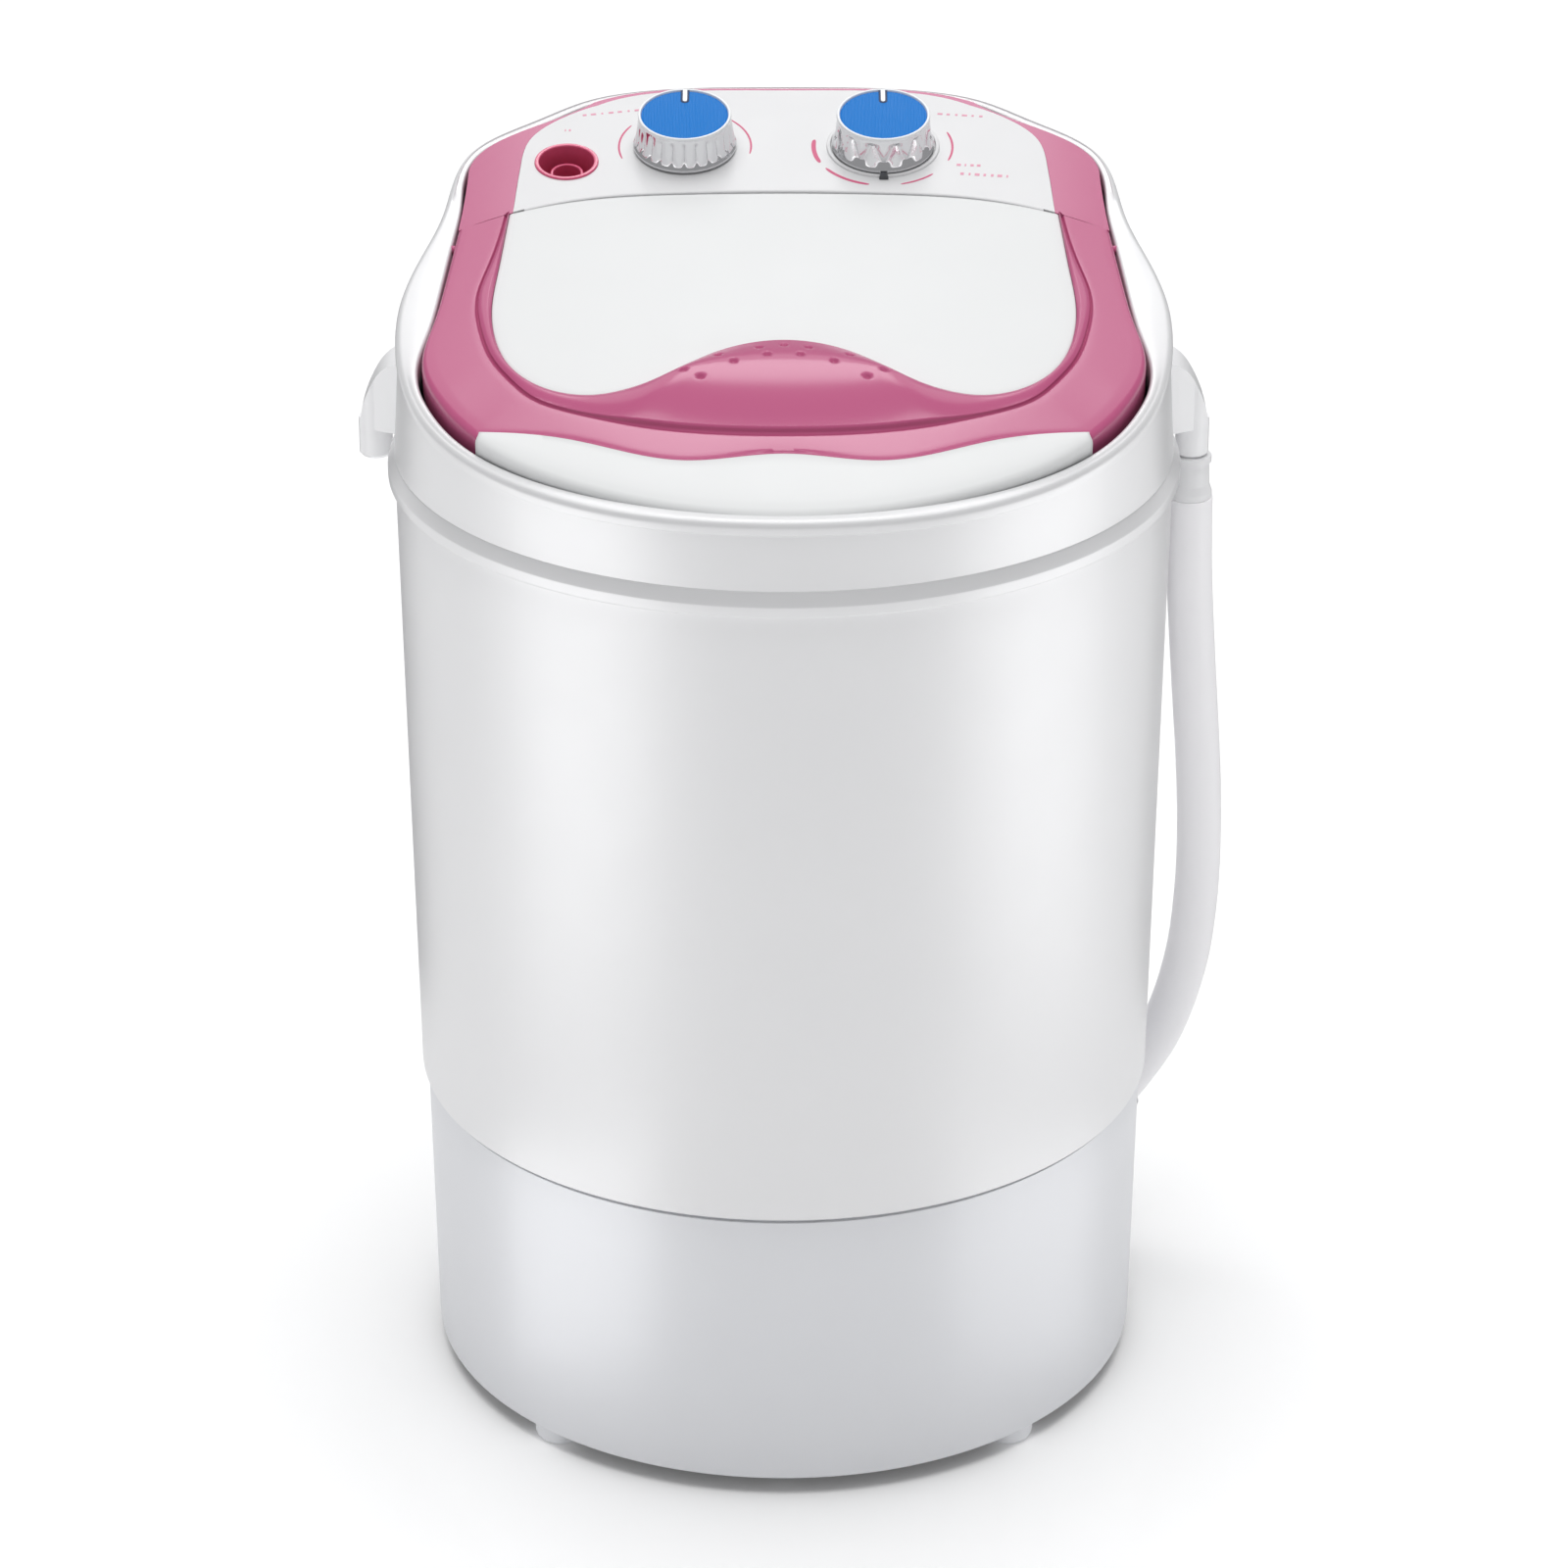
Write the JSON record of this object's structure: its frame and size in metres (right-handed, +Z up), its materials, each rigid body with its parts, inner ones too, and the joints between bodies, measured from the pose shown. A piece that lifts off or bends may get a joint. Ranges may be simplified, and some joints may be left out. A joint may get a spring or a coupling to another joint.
{
  "type": "single-tub washing machine",
  "caption": "Compact round washing machine with a hinged pink lid, white window, sloping panel with knobs, side drain hose and lift-out spin basket.",
  "frame": {"origin": "on the floor under the centre of the round body", "axes": "+Z up, +Y to the rear where the control panel is, +X to the side with the drain hose, as seen from the front on the right"},
  "size_m": [0.3879, 0.343, 0.5506],
  "materials": {
    "base_plastic": "cool white gloss moulding",
    "pearl_plastic": "pearl white gloss moulding",
    "white_plastic": "white gloss moulding",
    "grey_plastic": "grey satin moulding",
    "pink_plastic": "pink gloss moulding",
    "fascia_white": "white printed fascia",
    "window_white": "milk-white moulded window",
    "inlet_plastic": "dark red moulding",
    "knob_chrome": "chrome-plated plastic",
    "knob_blue": "blue finely grooved cap",
    "pointer_white": "white inlay",
    "hose_vinyl": "soft pale grey vinyl",
    "hose_cuff_vinyl": "soft white vinyl",
    "foot_rubber": "pale grey rubber",
    "seal_rubber": "black rubber",
    "screw_steel": "zinc-plated",
    "bearing_steel": "ground steel",
    "motor_steel": "dark varnished laminations",
    "cast_metal": "die-cast",
    "pulsator_plastic": "white gloss moulding",
    "basket_plastic": "pale grey gloss moulding"
  },
  "bodies": {
    "cabinet": {"base_skirt": "base_plastic", "base_posts": "base_plastic", "spout_collar": "base_plastic", "base_plate": "grey_plastic", "base_screws": "screw_steel", "feet": "foot_rubber", "cord_gland": "grey_plastic", "wash_tub": "pearl_plastic", "tub_strainer": "grey_plastic", "drain_trap": "base_plastic", "channel_cover": "white_plastic", "wire_conduit": "grey_plastic", "bearing_housing": "cast_metal", "upper_bearing": "bearing_steel", "lower_bearing": "bearing_steel", "shaft_seal": "seal_rubber", "drive_belt": "seal_rubber", "motor_stator": "motor_steel", "motor_lower_bell": "cast_metal", "motor_upper_bell": "cast_metal", "motor_bracket": "screw_steel", "motor_mounts": "foot_rubber", "run_capacitor": "white_plastic", "top_collar": "white_plastic", "left_handle": "white_plastic", "right_handle": "white_plastic", "drain_hose": "hose_vinyl", "hose_cuff": "hose_cuff_vinyl", "front_ledge": "white_plastic", "panel_surround": "pink_plastic", "panel_fascia": "fascia_white", "control_box": "grey_plastic", "water_inlet": "inlet_plastic", "wash_timer": "grey_plastic", "mode_switch": "grey_plastic"},
    "lid": {"lid_frame": "pink_plastic", "lid_window": "window_white", "lid_hinge_pins": "pink_plastic"},
    "timer_knob": {"wash_timer_shaft": "screw_steel", "wash_timer_knob": "knob_chrome", "wash_timer_cap": "knob_blue", "wash_timer_pointer": "pointer_white"},
    "mode_knob": {"mode_switch_shaft": "screw_steel", "mode_switch_knob": "knob_chrome", "mode_switch_cap": "knob_blue", "mode_switch_pointer": "pointer_white"},
    "agitator": {"drive_shaft": "bearing_steel", "pulsator": "pulsator_plastic", "pulsator_screw": "bearing_steel", "large_pulley": "cast_metal", "pulley_nut": "screw_steel"},
    "basket": {"spin_basket": "basket_plastic", "basket_ring": "white_plastic"},
    "rotor": {"motor_rotor": "bearing_steel", "motor_pulley": "cast_metal"}
  },
  "joints": [
    {"name": "lid_hinge", "type": "hinge", "parent": "cabinet", "child": "lid", "pos_m": [0, 0.04732, 0.50567], "axis": [-1, 0, 0], "range_deg": [0, 108]},
    {"name": "timer_turn", "type": "hinge", "parent": "cabinet", "child": "timer_knob", "pos_m": [-0.0442, 0.122, 0.528], "axis": [0, -0.2588, 0.9659], "range_deg": [-300, 0]},
    {"name": "mode_turn", "type": "hinge", "parent": "cabinet", "child": "mode_knob", "pos_m": [0.0442, 0.122, 0.528], "axis": [0, -0.2588, 0.9659], "range_deg": [-120, 120]},
    {"name": "agitator_spin", "type": "hinge", "parent": "cabinet", "child": "agitator", "pos_m": [0, 0, 0.1], "axis": [0, 0, 1], "continuous": true},
    {"name": "rotor_spin", "type": "hinge", "parent": "cabinet", "child": "rotor", "pos_m": [-0.102, 0, 0.1], "axis": [0, 0, 1], "continuous": true},
    {"name": "basket_lift", "type": "slide", "parent": "agitator", "child": "basket", "axis": [0, 0, 1], "range_m": [0, 0.06]}
  ],
  "couplings": [
    {"joint": "rotor_spin", "follows": "agitator_spin", "ratio": 4.1447}
  ]
}
